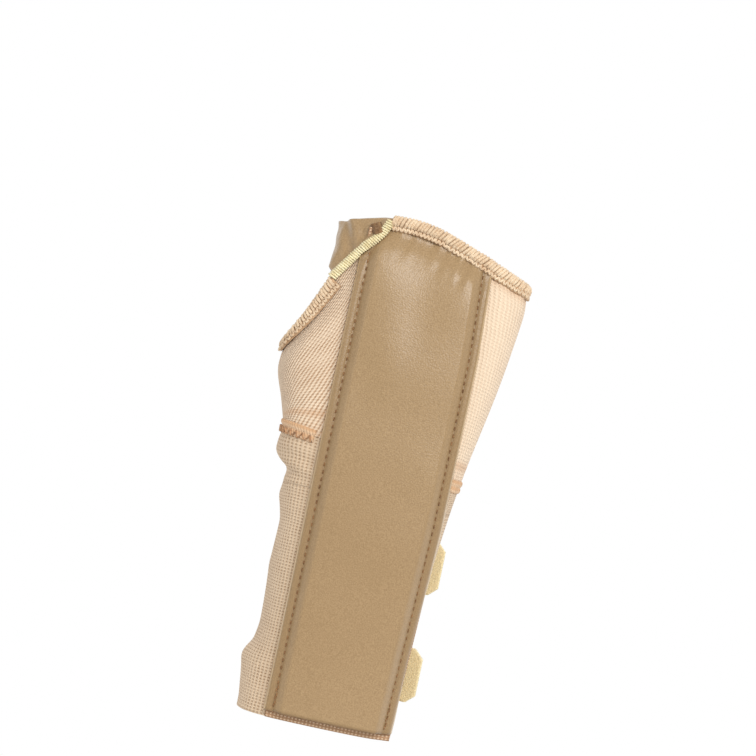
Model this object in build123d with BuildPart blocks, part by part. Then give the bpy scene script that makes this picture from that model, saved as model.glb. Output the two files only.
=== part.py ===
"""Left-hand wrist splint: an elastic sleeve with a palm stay and two strap closures.

Millimetres. +Z runs up the forearm towards the fingers, the palm faces -Y, the thumb side is -X.
The origin is the middle of the forearm opening, in the plane of the lower rim.
"""
import math
import os

from build123d import *

# ---- The worn shape: (height, value) pairs, from the lower rim up to past the finger edge
RADIAL_SIDE = ((0, -29.0), (37, -26.5), (75, -28.6), (97, -34.0), (124, -40.6), (148, -36.0), (166, -31.4), (186, -29.5))
ULNAR_SIDE = ((0, 24.0), (37, 24.4), (75, 27.6), (97, 30.6), (121, 35.0), (141, 37.8), (161, 40.0), (186, 42.0))
THICKNESS = ((0, 44.0), (40, 42.0), (75, 39.5), (97, 38.0), (124, 38.0), (150, 34.0), (186, 30.0))
FORM_TOP = 186.0          # height at which the worn shape stops, above the highest edge
FORM_STEP = 15.5          # height between its sections
PALM_FORWARD = 22.0       # how far the palm side stands in front of the origin, at the bend's middle
BEND_RADIUS = 850.0       # the palm side is one long arc that tips the hand back
BEND_HEIGHT = 60.0        # height of the arc's foremost point
PALM_SQUARE = 0.85        # how square the palm side's corners are: 0.55 is an ellipse, 1 a box
PANEL_SQUARE = 0.95       # the same for the panel that is stretched over the stay

# ---- Cloth layers
KNIT = 1.6                # wall of the elastic knit
LAYER_GAP = 0.1           # air between two layers that are sewn together
BODY_GAP = 0.5            # air between two pieces that move apart
LINING = 0.8              # pocket lining
LEATHER = 1.2             # leatherette
BINDING_OVER = 0.8        # how far a binding stands outside the knit, and inside it

# ---- Palm panel and its stay
PANEL_CENTRE = 3.0
PANEL_EDGE_RADIAL = -20.5
PANEL_EDGE_ULNAR = ((-20, 23.0), (0, 23.8), (74, 26.2), (133, 26.2), (172, 24.4))
PANEL_BOTTOM = 2.5        # the leatherette stops this far above the rim
PANEL_TOP_SLACK = 1.6     # the panel's stand-off where its top is sewn flat
STAY_WIDTH = 28.0
STAY_THICK = 1.6
STAY_BOTTOM = 4.0
STAY_TOP = 156.0
STAY_CORNER = 9.0
STAY_PLAY = 0.4           # free space round the stay in its pocket
STAY_SIDE_PLAY = 0.5
POCKET_FLAT_FROM = 159.0  # heights between which the pocket flattens under the top binding
POCKET_FLAT_TO = 170.0

# ---- Finger edge, thumb opening and web bridge, seen from the palm: (x, z)
FINGER_EDGE = ((-46.0, 168.5), (-28.0, 171.5), (-9.8, 175.7), (3.0, 174.8), (19.8, 168.9), (40.2, 160.9), (56.0, 155.5))
FINGER_BINDING_WIDTH = 5.5
THUMB_LINE_TOP = (-12.6, 173.0)
THUMB_LINE_FOOT = (-42.0, 123.0)
THUMB_LINE_RUN_ON = 60.0  # the line is drawn this much longer at both ends
THUMB_BINDING_WIDTH = 4.5
BRIDGE_FOOT = 148.0       # height of the web bridge's lower edge
BRIDGE_LAP = 1.5          # how far the bridge laps over the thumb line
BRIDGE_SEAM = 3.0         # knit that runs on under the bridge
OVERCAST_WIDTH = 2.4      # thread over the bridge's sewn ends
THREAD_THICK = 0.7
TACK_CENTRE = (-20.3, 166.9)
TACK_SIZE = 4.0

# ---- Wrist seam, which falls from the thumb side to the ulnar side
SEAM_RADIAL_HEIGHT = 98.5
SEAM_ULNAR_HEIGHT = 88.0
SEAM_HEIGHT_AT = (-40.0, 36.0)
SEAM_WIDTH = 4.6

# ---- Dorsal opening of the forearm part
OPENING_TOP = 79.0        # the flaps are free up to this height
HINGE_Y = 4.0             # the cloth bends here, on both sides
HINGE_RADIAL_X = -30.4
HINGE_ULNAR_X = 29.4
OPENING_CENTRE = 1.0
OPENING_WIDTH = 8.0       # between the two flaps' edges when closed
EDGE_BINDING_WIDTH = 4.5

# ---- Straps
STRAP_HEIGHTS = {"lower": 20.6, "upper": 58.9}
STRAP_WIDTH = 19.0
STRAP_THICK = 1.2
STRAP_SEWN_FROM = -21.0   # x of the sewn end's edge
STRAP_PEEL = -8.5         # x of the line where the strap starts to lift
STRAP_LEAVES = 15.0       # x where it leaves the back's curve and runs straight on
STRAP_TIP = 30.0          # x of the tip, which stands past the ulnar side
STRAP_TIP_CHAMFER = 3.0
HOOK_FROM = 8.0           # x where the hooks start
HOOK_THICK = 0.9
LOOP_THICK = 1.2
LOOP_SPAN = (9.6, 21.0)   # x of the loop patch's two ends
ANCHOR_SPAN = (-22.5, -8.8)
PATCH_MARGIN = 1.2        # patches stand out beyond the strap's edges
GRIP_GAP = 0.4            # between the hooks and the loops
TIP_SPARE = 4.0           # cut off again at the tip

# ---- Worked out
AXIS_Y = BEND_RADIUS - PALM_FORWARD
STAY_POCKET = STAY_THICK + 2 * STAY_PLAY
LINING_OUT = LAYER_GAP + LINING
POCKET_FLOOR = LINING_OUT + LAYER_GAP
POCKET_OUT = POCKET_FLOOR + STAY_POCKET + LEATHER
PANEL_OUT = POCKET_FLOOR + LEATHER
BRIDGE_OUT = LAYER_GAP + LEATHER
LOOP_OUT = LAYER_GAP + LOOP_THICK
HOOK_IN = LOOP_OUT + GRIP_GAP
HOOK_OUT = HOOK_IN + HOOK_THICK
STRAP_IN = HOOK_OUT + LAYER_GAP
STRAP_OUT = STRAP_IN + STRAP_THICK
DEEP = 200.0              # a cutter that goes right through


def along(profile, height):
    """Smooth value at a height, on the curve through (height, value) pairs."""
    heights = [point[0] for point in profile]
    values = [point[1] for point in profile]
    last = len(profile) - 1
    slopes = []
    for i in range(last + 1):
        before, after = max(i - 1, 0), min(i + 1, last)
        slopes.append((values[after] - values[before]) / (heights[after] - heights[before]))
    i = 0
    while i < last - 1 and height > heights[i + 1]:
        i += 1
    span = heights[i + 1] - heights[i]
    t = (height - heights[i]) / span
    return (
        values[i] * (1 + 2 * t) * (1 - t) ** 2
        + slopes[i] * span * t * (1 - t) ** 2
        + values[i + 1] * t * t * (3 - 2 * t)
        - slopes[i + 1] * span * t * t * (1 - t)
    )


def palm_y(height):
    """Y of the knit's palm side at a height, on the long arc."""
    return AXIS_Y - math.sqrt(BEND_RADIUS**2 - (height - BEND_HEIGHT) ** 2)


def dorsal_ellipse(height, grow):
    """Centre and radii of the ellipse that the back of the hand and arm follows, grown by a layer."""
    radial, ulnar = along(RADIAL_SIDE, height), along(ULNAR_SIDE, height)
    thick = along(THICKNESS, height)
    return (radial + ulnar) / 2, palm_y(height) + thick / 2, (ulnar - radial) / 2 + grow, thick / 2 + grow


def form(side_grow, palm_grow=None, square=PALM_SQUARE):
    """Solid of the worn shape, grown by side_grow, and by palm_grow(height) on the palm side."""
    palm_grow = palm_grow or (lambda height: side_grow)
    count = round(FORM_TOP / FORM_STEP)
    with BuildPart() as solid:
        for i in range(count + 1):
            height = FORM_TOP * i / count
            x, y, half_width, half_thick = dorsal_ellipse(height, side_grow)
            palm = palm_y(height) - palm_grow(height)
            ulnar, radial = x + half_width, x - half_width
            with BuildSketch(Plane.XY.offset(height)):
                with BuildLine():
                    EllipticalCenterArc((x, y), half_width, half_thick, 0, arc_size=180)
                    for side in (radial, ulnar):
                        Bezier(
                            (side, y),
                            (side, y - square * (y - palm)),
                            (PANEL_CENTRE + square * (side - PANEL_CENTRE), palm),
                            (PANEL_CENTRE, palm),
                        )
                make_face()
        loft()
    return solid.part


def seen_from_palm(points, curved=0):
    """Prism through the whole splint. The first `curved` points are joined by a spline, the rest by lines."""
    with BuildPart() as prism:
        with BuildSketch(Plane.XZ):
            with BuildLine():
                if curved:
                    Spline(*points[:curved])
                    Polyline(*points[curved - 1:], points[0])
                else:
                    Polyline(*points, points[0])
            make_face()
        extrude(amount=DEEP, both=True)
    return prism.part


def thumb_line(shift):
    """Two points on the thumb line, moved by shift towards the little finger and run on at both ends."""
    (x0, z0), (x1, z1) = THUMB_LINE_TOP, THUMB_LINE_FOOT
    length = math.hypot(x1 - x0, z1 - z0)
    ax, az = (x1 - x0) / length, (z1 - z0) / length
    run_on = THUMB_LINE_RUN_ON
    return (
        (x0 - az * shift - ax * run_on, z0 + ax * shift - az * run_on),
        (x1 - az * shift + ax * run_on, z1 + ax * shift + az * run_on),
    )


def thumb_side_of(shift):
    """Everything on the thumb's side of the shifted thumb line."""
    top, foot = thumb_line(shift)
    return seen_from_palm((top, foot, (-DEEP, foot[1]), (-DEEP, top[1])))


def below_finger_edge(drop):
    """Everything at least `drop` below the finger edge."""
    edge = tuple((x, z - drop) for x, z in FINGER_EDGE)
    return seen_from_palm(edge + ((DEEP, -DEEP), (-DEEP, -DEEP)), curved=len(edge))


def below_wrist_seam(rise):
    """Everything below the slanting wrist seam's middle line, raised by `rise`."""
    (x0, x1), (z0, z1) = SEAM_HEIGHT_AT, (SEAM_RADIAL_HEIGHT + rise, SEAM_ULNAR_HEIGHT + rise)
    slope = (z1 - z0) / (x1 - x0)
    left, right = z0 + slope * (-DEEP - x0), z1 + slope * (DEEP - x1)
    return seen_from_palm(((-DEEP, left), (DEEP, right), (DEEP, -DEEP), (-DEEP, -DEEP)))


def panel_area(inset):
    """The palm panel's outline, moved in by inset at its sides, as a prism of the palm half only."""
    ulnar = tuple((x - inset, z) for z, x in PANEL_EDGE_ULNAR)
    radial_x = PANEL_EDGE_RADIAL + inset
    with BuildPart() as prism:
        with BuildSketch(Plane.XZ):
            with BuildLine():
                Spline(*ulnar)
                Polyline(ulnar[-1], (ulnar[-1][0], FORM_TOP), (radial_x, FORM_TOP), (radial_x, ulnar[0][1]), ulnar[0])
            make_face()
        extrude(amount=DEEP)
    return prism.part


def box_between(x_span, y_span, z_span):
    """A box given by its two ends along each axis."""
    with BuildPart() as box:
        with Locations((sum(x_span) / 2, sum(y_span) / 2, sum(z_span) / 2)):
            Box(x_span[1] - x_span[0], y_span[1] - y_span[0], z_span[1] - z_span[0])
    return box.part


def strap_layer(height_span, inner, outer, start):
    """One layer of a strap: from x = start round the back, then straight on past the ulnar side."""
    with BuildPart() as layer:
        for height in height_span:
            with BuildSketch(Plane.XY.offset(height)):
                with BuildLine():
                    ends = []
                    for grow in (inner, outer):
                        x, y, half_width, half_thick = dorsal_ellipse(height, grow)
                        leaves = math.degrees(math.acos((STRAP_LEAVES - x) / half_width))
                        begins = math.degrees(math.acos((start - x) / half_width))
                        arc = EllipticalCenterArc((x, y), half_width, half_thick, leaves, arc_size=begins - leaves)
                        run = STRAP_TIP + TIP_SPARE - STRAP_LEAVES
                        heading = -(arc % 0)
                        tip = (arc @ 0) + heading * (run / heading.X)
                        Line(arc @ 0, tip)
                        ends.append((tip, arc @ 1))
                    Line(ends[0][0], ends[1][0])
                    Line(ends[0][1], ends[1][1])
                make_face()
        loft()
    return layer.part


def strap_outline(height):
    """The strap seen from the palm, with its two tip corners cut off, as a prism."""
    low, high = height - STRAP_WIDTH / 2, height + STRAP_WIDTH / 2
    corner = STRAP_TIP - STRAP_TIP_CHAMFER
    side_low, side_high = low + STRAP_TIP_CHAMFER, high - STRAP_TIP_CHAMFER
    tip = ((corner, low), (STRAP_TIP, side_low), (STRAP_TIP, side_high), (corner, high))
    return seen_from_palm(((-DEEP, low),) + tip + ((-DEEP, high),))


def round_the_bend(low, high, width, inner, outer):
    """A strip that follows the palm's long arc from one height to another, between two stand-offs."""
    start, end = (math.asin((height - BEND_HEIGHT) / BEND_RADIUS) for height in (low, high))
    tangent = (0, math.sin(start), math.cos(start))
    section = Plane(origin=(0, AXIS_Y, BEND_HEIGHT), x_dir=(1, 0, 0), z_dir=tangent)
    with BuildPart() as strip:
        with BuildSketch(section):
            with Locations((PANEL_CENTRE, -BEND_RADIUS - (inner + outer) / 2)):
                Rectangle(width, outer - inner)
        revolve(axis=Axis((0, AXIS_Y, BEND_HEIGHT), (-1, 0, 0)), revolution_arc=math.degrees(end - start))
    return strip.part


def pocket_bulge(height):
    """How far the panel stands off the knit: over the stay, and flat again under the top binding."""
    if height <= POCKET_FLAT_FROM:
        return POCKET_OUT
    t = min((height - POCKET_FLAT_FROM) / (POCKET_FLAT_TO - POCKET_FLAT_FROM), 1)
    return POCKET_OUT + (PANEL_OUT - POCKET_OUT) * t * t * (3 - 2 * t)


def finish(piece, name):
    """Names a piece and writes it."""
    piece.part.label = name
    export_step(piece.part, f"parts/{name}.step")


os.makedirs("parts", exist_ok=True)

# ---- Shapes that the pieces share
knit_outside = form(0)
knit_inside = form(-KNIT)
binding_outside = form(BINDING_OVER)
binding_inside = form(-KNIT - BINDING_OVER)
sewn_on = form(LAYER_GAP)
below_knit_edge = below_finger_edge(FINGER_BINDING_WIDTH + LAYER_GAP)
below_bridge = box_between((-DEEP, DEEP), (-DEEP, DEEP), (-DEEP, BRIDGE_FOOT))
above_bridge = box_between((-DEEP, DEEP), (-DEEP, DEEP), (BRIDGE_FOOT + LAYER_GAP, DEEP))
bridge_side = thumb_side_of(BRIDGE_LAP)
clear_of_bridge = thumb_side_of(BRIDGE_LAP + LAYER_GAP)

# The hand part of the sleeve: a tube that is cut away for the thumb and under the web bridge
thumb_cut = thumb_side_of(THUMB_BINDING_WIDTH + LAYER_GAP) & below_bridge
web_cut = thumb_side_of(-BRIDGE_SEAM) & above_bridge
with BuildPart() as hand_sleeve:
    add(knit_outside)
    add(knit_inside, mode=Mode.SUBTRACT)
    add(below_knit_edge, mode=Mode.INTERSECT)
    add(below_wrist_seam(LAYER_GAP / 2), mode=Mode.SUBTRACT)
    add(thumb_cut, mode=Mode.SUBTRACT)
    add(web_cut, mode=Mode.SUBTRACT)
finish(hand_sleeve, "hand_sleeve")

# The forearm part: a whole ring at the wrist, and lower down only the palm side between the two bends
dorsal_cut = box_between((-DEEP, DEEP), (HINGE_Y - BODY_GAP / 2, DEEP), (-DEEP, OPENING_TOP + BODY_GAP / 2))
with BuildPart() as forearm_sleeve:
    add(knit_outside)
    add(knit_inside, mode=Mode.SUBTRACT)
    add(below_wrist_seam(-LAYER_GAP / 2), mode=Mode.INTERSECT)
    add(dorsal_cut, mode=Mode.SUBTRACT)
finish(forearm_sleeve, "forearm_sleeve")

# The zigzag-sewn band over the joint of the two parts, which stops at the palm panel's edges
with BuildPart() as wrist_seam:
    add(form(LAYER_GAP + THREAD_THICK))
    add(sewn_on, mode=Mode.SUBTRACT)
    add(below_wrist_seam(SEAM_WIDTH / 2), mode=Mode.INTERSECT)
    add(below_wrist_seam(-SEAM_WIDTH / 2), mode=Mode.SUBTRACT)
    add(panel_area(-LAYER_GAP), mode=Mode.SUBTRACT)
finish(wrist_seam, "wrist_seam")

# The pocket's lining, which shows a little below the leatherette
with BuildPart() as pocket_lining:
    add(form(LINING_OUT))
    add(sewn_on, mode=Mode.SUBTRACT)
    add(panel_area(LINING), mode=Mode.INTERSECT)
    add(below_knit_edge, mode=Mode.INTERSECT)
    add(clear_of_bridge, mode=Mode.SUBTRACT)
finish(pocket_lining, "pocket_lining")

# The leatherette panel, stretched over the stay's pocket, which is open at its lower end
with BuildPart() as palm_panel:
    add(form(PANEL_OUT, pocket_bulge, PANEL_SQUARE))
    add(form(POCKET_FLOOR), mode=Mode.SUBTRACT)
    add(panel_area(0), mode=Mode.INTERSECT)
    add(box_between((-DEEP, DEEP), (-DEEP, DEEP), (PANEL_BOTTOM, DEEP)), mode=Mode.INTERSECT)
    add(below_knit_edge, mode=Mode.INTERSECT)
    add(clear_of_bridge, mode=Mode.SUBTRACT)
    add(
        round_the_bend(
            PANEL_BOTTOM - STAY_BOTTOM,
            STAY_TOP + STAY_SIDE_PLAY,
            STAY_WIDTH + 2 * STAY_SIDE_PLAY,
            POCKET_FLOOR,
            POCKET_FLOOR + STAY_POCKET,
        ),
        mode=Mode.SUBTRACT,
    )
finish(palm_panel, "palm_panel")

# The aluminium palm stay, bent to the same long arc so that it slides out along it
with BuildPart() as stay_outline:
    with BuildSketch(Plane.XZ):
        with Locations((PANEL_CENTRE, (STAY_BOTTOM + STAY_TOP) / 2)):
            RectangleRounded(STAY_WIDTH, STAY_TOP - STAY_BOTTOM, STAY_CORNER)
    extrude(amount=DEEP, both=True)
with BuildPart() as palm_stay:
    add(
        round_the_bend(
            STAY_BOTTOM - STAY_PLAY,
            STAY_TOP + STAY_PLAY,
            STAY_WIDTH,
            POCKET_FLOOR + STAY_PLAY,
            POCKET_FLOOR + STAY_PLAY + STAY_THICK,
        )
    )
    add(stay_outline.part, mode=Mode.INTERSECT)
finish(palm_stay, "palm_stay")

# The binding along the finger edge, from one end of the web bridge round the little finger to the other
with BuildPart() as finger_binding:
    add(binding_outside)
    add(binding_inside, mode=Mode.SUBTRACT)
    add(below_finger_edge(0), mode=Mode.INTERSECT)
    add(below_finger_edge(FINGER_BINDING_WIDTH), mode=Mode.SUBTRACT)
    add(clear_of_bridge, mode=Mode.SUBTRACT)
finish(finger_binding, "finger_binding")

# The binding of the thumb opening, below the web bridge
with BuildPart() as thumb_binding:
    add(binding_outside)
    add(binding_inside, mode=Mode.SUBTRACT)
    add(thumb_side_of(THUMB_BINDING_WIDTH), mode=Mode.INTERSECT)
    add(thumb_side_of(0), mode=Mode.SUBTRACT)
    add(below_bridge, mode=Mode.INTERSECT)
finish(thumb_binding, "thumb_binding")

# The leatherette bridge over the web between thumb and index finger
with BuildPart() as web_bridge:
    add(form(BRIDGE_OUT))
    add(sewn_on, mode=Mode.SUBTRACT)
    add(bridge_side, mode=Mode.INTERSECT)
    add(below_finger_edge(0), mode=Mode.INTERSECT)
    add(above_bridge, mode=Mode.INTERSECT)
finish(web_bridge, "web_bridge")

# Overcast thread along both sewn ends of the bridge
with BuildPart() as bridge_overcast:
    add(form(BRIDGE_OUT + LAYER_GAP + THREAD_THICK))
    add(form(BRIDGE_OUT + LAYER_GAP), mode=Mode.SUBTRACT)
    add(bridge_side, mode=Mode.INTERSECT)
    add(thumb_side_of(BRIDGE_LAP - OVERCAST_WIDTH), mode=Mode.SUBTRACT)
    add(below_finger_edge(0), mode=Mode.INTERSECT)
    add(above_bridge, mode=Mode.INTERSECT)
finish(bridge_overcast, "bridge_overcast")

# The bar tack that locks the bridge's upper corner, on the palm side
with BuildPart() as bar_tack:
    with BuildSketch(Plane.XZ):
        with Locations(TACK_CENTRE):
            Rectangle(TACK_SIZE, TACK_SIZE)
    extrude(amount=DEEP)
    add(form(BRIDGE_OUT + LAYER_GAP + THREAD_THICK), mode=Mode.INTERSECT)
    add(form(BRIDGE_OUT + LAYER_GAP), mode=Mode.SUBTRACT)
finish(bar_tack, "bar_tack")

# The two flaps that open the back of the forearm part, each with a bound edge
low_gap = OPENING_CENTRE - OPENING_WIDTH / 2
high_gap = OPENING_CENTRE + OPENING_WIDTH / 2
flap_y = (HINGE_Y + BODY_GAP / 2, DEEP)
flap_z = (-DEEP, OPENING_TOP - BODY_GAP / 2)
flaps = {
    "radial": ((-DEEP, low_gap - EDGE_BINDING_WIDTH - LAYER_GAP), (low_gap - EDGE_BINDING_WIDTH, low_gap)),
    "ulnar": ((high_gap + EDGE_BINDING_WIDTH + LAYER_GAP, DEEP), (high_gap, high_gap + EDGE_BINDING_WIDTH)),
}
for side, (knit_x, edge_x) in flaps.items():
    with BuildPart() as flap:
        add(knit_outside)
        add(knit_inside, mode=Mode.SUBTRACT)
        add(box_between(knit_x, flap_y, flap_z), mode=Mode.INTERSECT)
    finish(flap, f"{side}_flap")
    with BuildPart() as flap_binding:
        add(binding_outside)
        add(binding_inside, mode=Mode.SUBTRACT)
        add(box_between(edge_x, flap_y, flap_z), mode=Mode.INTERSECT)
    finish(flap_binding, f"{side}_flap_binding")

# Two straps: an anchor patch and a sewn end on the radial flap, a free end with hooks, and a loop patch
for name, height in STRAP_HEIGHTS.items():
    edges = (height - STRAP_WIDTH / 2, height + STRAP_WIDTH / 2)
    patch_z = (edges[0] - PATCH_MARGIN, edges[1] + PATCH_MARGIN)
    heights = (edges[0], height, edges[1])
    outline = strap_outline(height)

    with BuildPart() as anchor_patch:
        add(form(STRAP_IN - LAYER_GAP))
        add(sewn_on, mode=Mode.SUBTRACT)
        add(box_between(ANCHOR_SPAN, flap_y, patch_z), mode=Mode.INTERSECT)
    finish(anchor_patch, f"{name}_anchor_patch")

    with BuildPart() as sewn_end:
        add(form(STRAP_OUT))
        add(form(STRAP_IN), mode=Mode.SUBTRACT)
        add(box_between((STRAP_SEWN_FROM, STRAP_PEEL - BODY_GAP / 2), flap_y, edges), mode=Mode.INTERSECT)
    finish(sewn_end, f"{name}_strap_root")

    with BuildPart() as strap:
        add(strap_layer(heights, STRAP_IN, STRAP_OUT, STRAP_PEEL + BODY_GAP / 2))
        add(outline, mode=Mode.INTERSECT)
    finish(strap, f"{name}_strap")

    with BuildPart() as hooks:
        add(strap_layer(heights, HOOK_IN, HOOK_OUT, HOOK_FROM))
        add(outline, mode=Mode.INTERSECT)
    finish(hooks, f"{name}_hook_patch")

    with BuildPart() as loops:
        add(form(LOOP_OUT))
        add(sewn_on, mode=Mode.SUBTRACT)
        add(box_between(LOOP_SPAN, flap_y, patch_z), mode=Mode.INTERSECT)
    finish(loops, f"{name}_loop_patch")
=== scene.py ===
import math

import bmesh
import bpy
import numpy as np
from mathutils import Matrix, Vector
from mathutils.bvhtree import BVHTree


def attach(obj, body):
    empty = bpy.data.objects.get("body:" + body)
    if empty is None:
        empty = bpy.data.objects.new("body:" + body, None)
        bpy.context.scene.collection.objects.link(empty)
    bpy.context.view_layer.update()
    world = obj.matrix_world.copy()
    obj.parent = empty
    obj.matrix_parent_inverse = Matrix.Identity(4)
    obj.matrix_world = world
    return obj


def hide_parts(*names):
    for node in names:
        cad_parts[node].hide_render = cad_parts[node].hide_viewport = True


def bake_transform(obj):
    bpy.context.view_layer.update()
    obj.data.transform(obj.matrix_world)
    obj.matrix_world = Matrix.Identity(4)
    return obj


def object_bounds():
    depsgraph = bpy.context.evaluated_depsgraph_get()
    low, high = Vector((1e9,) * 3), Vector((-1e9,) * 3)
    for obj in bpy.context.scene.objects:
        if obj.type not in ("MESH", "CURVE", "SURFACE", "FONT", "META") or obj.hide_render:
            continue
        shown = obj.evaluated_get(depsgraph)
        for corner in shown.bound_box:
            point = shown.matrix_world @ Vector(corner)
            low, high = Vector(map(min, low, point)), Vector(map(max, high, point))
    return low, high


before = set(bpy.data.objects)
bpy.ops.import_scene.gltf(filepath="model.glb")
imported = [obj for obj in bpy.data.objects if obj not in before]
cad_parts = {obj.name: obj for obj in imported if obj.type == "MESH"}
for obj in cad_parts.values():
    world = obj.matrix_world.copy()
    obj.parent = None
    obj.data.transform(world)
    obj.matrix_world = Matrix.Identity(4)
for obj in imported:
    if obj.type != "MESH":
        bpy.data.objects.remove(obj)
cad_low, cad_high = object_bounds()

# ---- View and light: the camera looks square on to the palm, with the arm leaning to the right.
# The splint hangs as it is worn, with a round pale floor well under it. Soft boxes light it from
# the front and from behind, in a pale room that is darker behind the camera.
LEAN = math.radians(12.0)
LOOK_AT = Vector((-0.0058, 0.0, 0.120))
DISTANCE = 1.0
FLOOR_RADIUS, FLOOR_DROP = 0.26, 0.078

camera = bpy.data.objects.new("camera", bpy.data.cameras.new("camera"))
camera.data.lens = 138.0
camera.data.sensor_width = 36.0
right = Vector((math.cos(LEAN), 0, math.sin(LEAN)))
up = Vector((-math.sin(LEAN), 0, math.cos(LEAN)))
leaning = Matrix((right, up, right.cross(up))).transposed().to_4x4()
camera.matrix_world = Matrix.Translation(LOOK_AT + Vector((0, -DISTANCE, 0))) @ leaning
bpy.context.scene.collection.objects.link(camera)
bpy.context.scene.camera = camera
bpy.context.scene.view_settings.view_transform = "Standard"

floor_disc = bmesh.new()
bmesh.ops.create_circle(floor_disc, cap_ends=True, segments=96, radius=FLOOR_RADIUS)
bmesh.ops.translate(floor_disc, verts=floor_disc.verts, vec=(0, 0, cad_low.z - FLOOR_DROP))
floor = bpy.data.objects.new("floor", bpy.data.meshes.new("floor"))
floor_disc.to_mesh(floor.data)
floor_disc.free()
bpy.context.scene.collection.objects.link(floor)
floor_paint = bpy.data.materials.new("pale_floor")
floor_paint.use_nodes = True
floor_shader = floor_paint.node_tree.nodes["Principled BSDF"]
floor_shader.inputs["Base Color"].default_value = (0.86, 0.86, 0.85, 1)
floor_shader.inputs["Roughness"].default_value = 0.7
floor.data.materials.append(floor_paint)

studio = bpy.data.worlds.new("studio")
studio.use_nodes = True
room = studio.node_tree
facing = room.nodes.new("ShaderNodeTexCoord")
directions = room.nodes.new("ShaderNodeSeparateXYZ")
walls = room.nodes.new("ShaderNodeMapRange")
walls.inputs["From Min"].default_value = -0.6
walls.inputs["From Max"].default_value = 0.5
walls.inputs["To Min"].default_value = 0.54
room.links.new(facing.outputs["Generated"], directions.inputs[0])
room.links.new(directions.outputs[1], walls.inputs[0])
room.links.new(walls.outputs[0], room.nodes["Background"].inputs["Color"])
room.nodes["Background"].inputs["Strength"].default_value = 1.0
bpy.context.scene.world = studio


def soft_light(name, place, size, power):
    """A square soft box that looks at the splint."""
    lamp = bpy.data.objects.new(name, bpy.data.lights.new(name, "AREA"))
    lamp.data.size = size
    lamp.data.energy = power
    lamp.location = place
    lamp.rotation_euler = (LOOK_AT - Vector(place)).to_track_quat("-Z", "Y").to_euler()
    bpy.context.scene.collection.objects.link(lamp)


soft_light("key", (0.24, -0.98, 0.60), 0.26, 6.0)
soft_light("sheen", (0.62, -0.86, 0.46), 0.20, 2.9)
soft_light("fill", (-1.0, -0.8, 0.45), 0.9, 3.0)
soft_light("behind", (0.5, 1.1, 0.8), 0.9, 5.0)
soft_light("behind_low", (-0.9, 0.8, 0.2), 0.9, 1.5)

# ---- Hand part of the sleeve: a tube of ribbed elastic knit, cut away for the thumb.
# Its ribs run up from the wrist seam, lean towards the fingers beside the thumb and lie finer
# and flatter on the little finger's side, where the knit is stretched most.
MM = 0.001
KNIT_WALL = 0.0012
SEAM_AT = ((-0.040, 0.0985), (0.036, 0.0880))
SEAM_START = 0.093
FINGER_EDGE = (
    (-0.046, 0.1685), (-0.028, 0.1715), (-0.0098, 0.1757), (0.003, 0.1748),
    (0.0198, 0.1689), (0.0402, 0.1609), (0.056, 0.1555),
)
THUMB_EDGE = (
    (-0.056, 0.091), (-0.0420, 0.1150), (-0.0392, 0.1232), (-0.0284, 0.1500),
    (-0.0130, 0.1727), (0.010, 0.206),
)
# How far the cloth stands off the thumb's side, as heights and distances in millimetres: folds near
# the rim, the bunched roll under the seam, and the knit over the base of the thumb.
STANDS_OFF = (
    (0, 1.3), (3, 1.5), (8, 2.5), (13, 3.5), (17.5, 4.7), (20, 3.9), (23, 2.1), (29, 1.5), (40, 2.1),
    (50, 2.6), (58, 1.9), (65.6, 1.2), (70, 1.8), (74, 2.5), (78, 1.6), (82.5, -0.5), (86, 1.8),
    (89.7, 3.6), (93, 2.2), (97, 0.2), (108, 0.3), (115, 0.9), (121, 1.3), (127, 1.1), (136, 0.3), (150, 0),
)
# The hand and the arm give the cloth its form, so it is laid on a net of angles and heights, which
# is measured from the frame. Angle 0 is the little finger's side, 90 the back, 180 the thumb's side
# and 270 the palm.
AXIS_X, AXIS_Y = 0.0, 0.001
ANGLE_STEP, HEIGHT_STEP = 2.0, 0.003
THUMB_SIDE, PALM_MIDDLE = 182.0, 272.0
FAR_OUT, NEAR_AXIS = 0.1, 0.008
BRIDGE_OUT = 0.0013


def tree_of(*names):
    """One search tree over some of the frame's nodes."""
    mesh = bmesh.new()
    for node in names:
        mesh.from_mesh(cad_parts[node].data)
    tree = BVHTree.FromBMesh(mesh)
    mesh.free()
    return tree


def reach(tree, angle, height):
    """Distance from the arm's axis to a tree's outside, or None where there is nothing."""
    out = Vector((math.cos(math.radians(angle)), math.sin(math.radians(angle)), 0))
    start = Vector((AXIS_X, AXIS_Y, height)) + out * FAR_OUT
    hit = tree.ray_cast(start, -out, FAR_OUT - NEAR_AXIS)
    return None if hit[0] is None else FAR_OUT - hit[3]


def neighbours(net):
    """Each place's four neighbours in the net, added up."""
    above = np.vstack([net[1:], net[-1:]])
    below = np.vstack([net[:1], net[:-1]])
    return above + below + np.roll(net, 1, 1) + np.roll(net, -1, 1)


def measure(knit, bridge):
    """Net of reaches to the knit; its gaps take the bridge's inside, or are filled smoothly."""
    angles = np.arange(0, 360, ANGLE_STEP)
    heights = np.arange(0, cad_high.z + HEIGHT_STEP, HEIGHT_STEP)
    net = np.full((len(heights), len(angles)), np.nan)
    for k, height in enumerate(heights):
        for i, angle in enumerate(angles):
            found = reach(knit, angle, min(max(height, 0.0004), cad_high.z))
            if found is None:
                found = reach(bridge, angle, height)
                found = None if found is None else found - BRIDGE_OUT
            if found is not None:
                net[k, i] = found
    empty = np.isnan(net)
    net[empty] = np.nanmean(net)
    for _ in range(1500):
        net[empty] = (neighbours(net) / 4)[empty]
    for _ in range(3):
        net = 0.4 * net + 0.15 * neighbours(net)
    return net


knit_net = measure(
    tree_of("hand_sleeve", "forearm_sleeve", "radial_flap", "ulnar_flap"), tree_of("web_bridge")
)


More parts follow.
